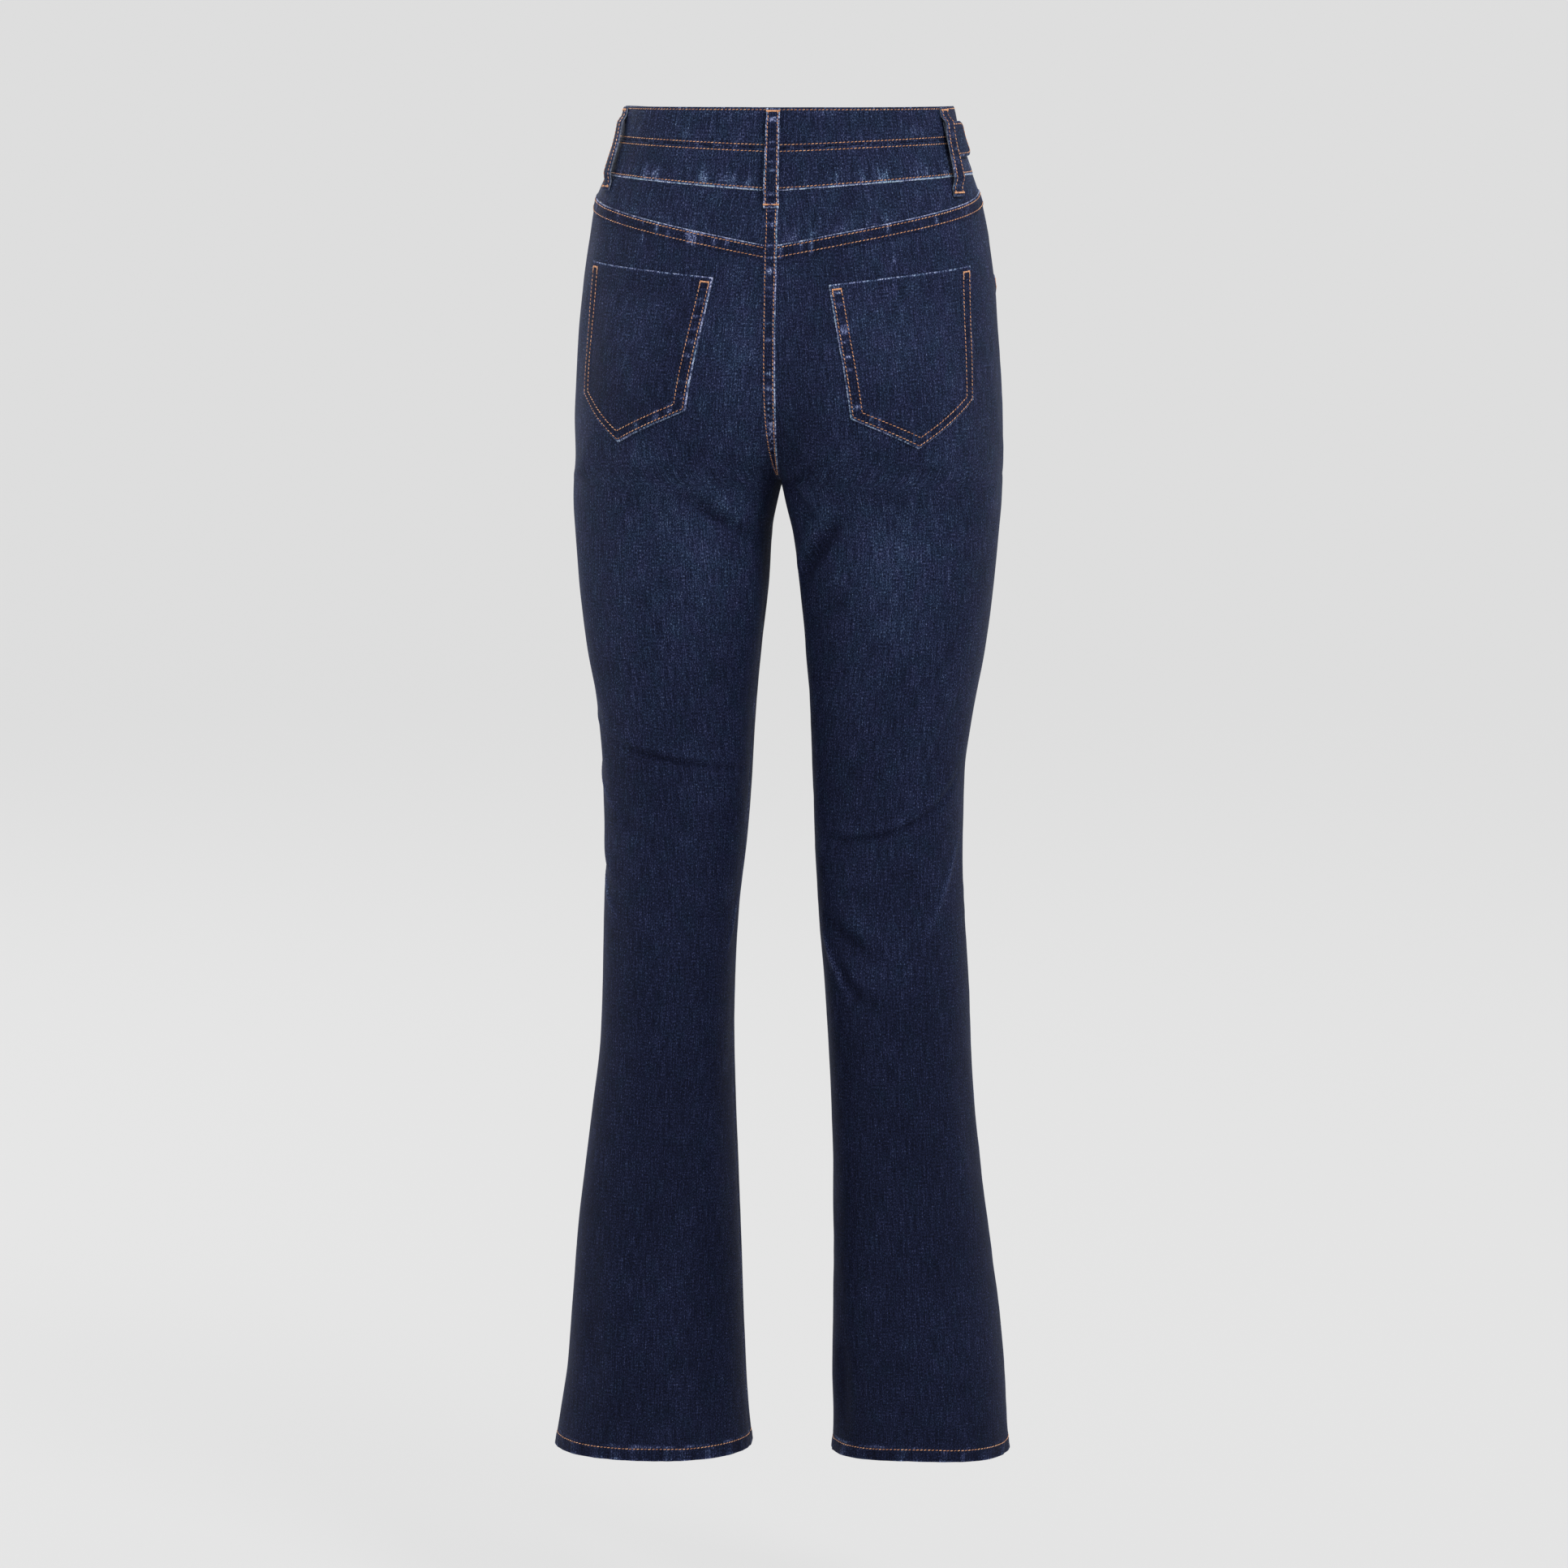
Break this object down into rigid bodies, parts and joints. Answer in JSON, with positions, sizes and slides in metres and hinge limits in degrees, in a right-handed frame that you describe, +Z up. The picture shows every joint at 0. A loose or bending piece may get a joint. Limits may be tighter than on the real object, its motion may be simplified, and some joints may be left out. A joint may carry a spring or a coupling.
{
  "type": "bootcut jeans",
  "caption": "Hollow pair of women's bootcut jeans in dark indigo denim, filled out as worn, with a two-tier waistband, a pointed back yoke and patch pockets.",
  "frame": {"origin": "centre of the waist opening, level with the top of the waistband at the back", "axes": "+Z up out of the waist, the front faces -Y, the wearer's left is +X, the legs go down to -Z"},
  "size_m": [0.373, 0.2437, 1.0936],
  "materials": {
    "denim": "dark indigo stretch denim twill, matt with a faint sheen, softly faded on the thighs",
    "waistband_denim": "the same denim, doubled and edge-stitched in tan thread",
    "trim_denim": "the same denim, with pale worn edges",
    "thread": "tan orange topstitching thread",
    "button_metal": "aged copper-toned plating"
  },
  "bodies": {
    "root": {"front_left": "denim", "front_right": "denim", "back_left": "denim", "back_right": "denim", "yoke_left": "denim", "yoke_right": "denim", "waistband_upper": "waistband_denim", "waistband_lower": "waistband_denim", "fly_shield": "trim_denim", "front_pocket_facing_left": "trim_denim", "front_pocket_facing_right": "trim_denim", "back_pocket_left": "trim_denim", "back_pocket_right": "trim_denim", "belt_loop_centre_back": "trim_denim", "belt_loop_back_left": "trim_denim", "belt_loop_back_right": "trim_denim", "belt_loop_front_left": "trim_denim", "belt_loop_front_right": "trim_denim", "side_tab": "trim_denim", "button_upper": "button_metal", "button_lower": "button_metal"}
  },
  "joints": []
}
